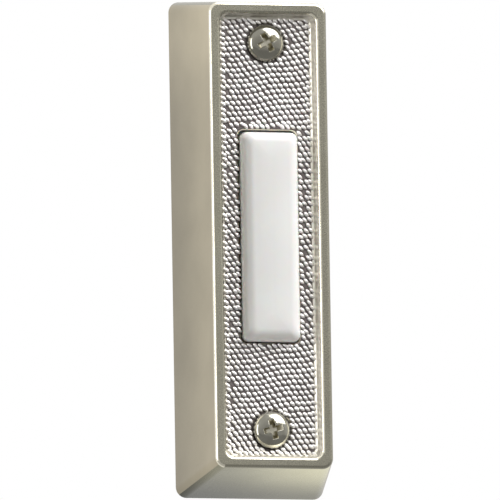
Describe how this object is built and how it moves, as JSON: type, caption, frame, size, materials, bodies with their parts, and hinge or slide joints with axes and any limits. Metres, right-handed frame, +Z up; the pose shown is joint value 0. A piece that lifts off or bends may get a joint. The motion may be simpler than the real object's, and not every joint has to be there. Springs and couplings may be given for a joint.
{
  "type": "doorbell push button",
  "caption": "Upright tapered metal case with a pebbled recessed field, a lit bar button that travels in, and a screw above and below it; a two-wire switch inside.",
  "frame": {"origin": "centre of the case's back face, which lies on the wall", "axes": "+Z up, +X to the right seen from the front, +Y into the wall, so the button faces -Y"},
  "size_m": [0.021, 0.0281, 0.0698],
  "materials": {
    "cover": "satin nickel plate over a zinc die casting",
    "button": "white translucent moulding, satin gloss",
    "switch_base": "dark phenolic moulding",
    "mounting_screw": "bright nickel plate",
    "base_screw": "zinc plated steel",
    "contact_brass": "rolled strip",
    "contact_silver": "dull silver",
    "rivet_brass": "turned",
    "terminal_brass": "tumbled",
    "spring_steel": "drawn wire",
    "lamp_lens": "diffused epoxy",
    "tinned_lead": "tinned",
    "resistor_body": "lacquered ceramic"
  },
  "bodies": {
    "case": {"cover": "cover", "switch_base": "switch_base", "contact_leaf": "contact_brass", "contact_strip": "contact_brass", "leaf_contact_point": "contact_silver", "strip_contact_point": "contact_silver", "leaf_rivet": "rivet_brass", "strip_rivet": "rivet_brass", "lamp": "lamp_lens", "lamp_lead_upper": "tinned_lead", "lamp_lead_lower": "tinned_lead", "lamp_resistor": "resistor_body", "resistor_lead": "tinned_lead", "mounting_screw_upper": "mounting_screw", "base_screw_upper": "base_screw", "terminal_nut_upper": "terminal_brass", "terminal_washer_upper": "terminal_brass", "terminal_screw_upper": "terminal_brass", "return_spring_upper": "spring_steel", "mounting_screw_lower": "mounting_screw", "base_screw_lower": "base_screw", "terminal_nut_lower": "terminal_brass", "terminal_washer_lower": "terminal_brass", "terminal_screw_lower": "terminal_brass", "return_spring_lower": "spring_steel"},
    "button": {"button": "button"}
  },
  "joints": [
    {"name": "button_press", "type": "slide", "parent": "case", "child": "button", "axis": [0, 1, 0], "range_m": [0, 0.001], "stiffness_N_per_m": 2160, "springref_m": -0.0008, "deforming": ["return_spring_upper", "return_spring_lower", "contact_leaf", "leaf_contact_point"]}
  ]
}
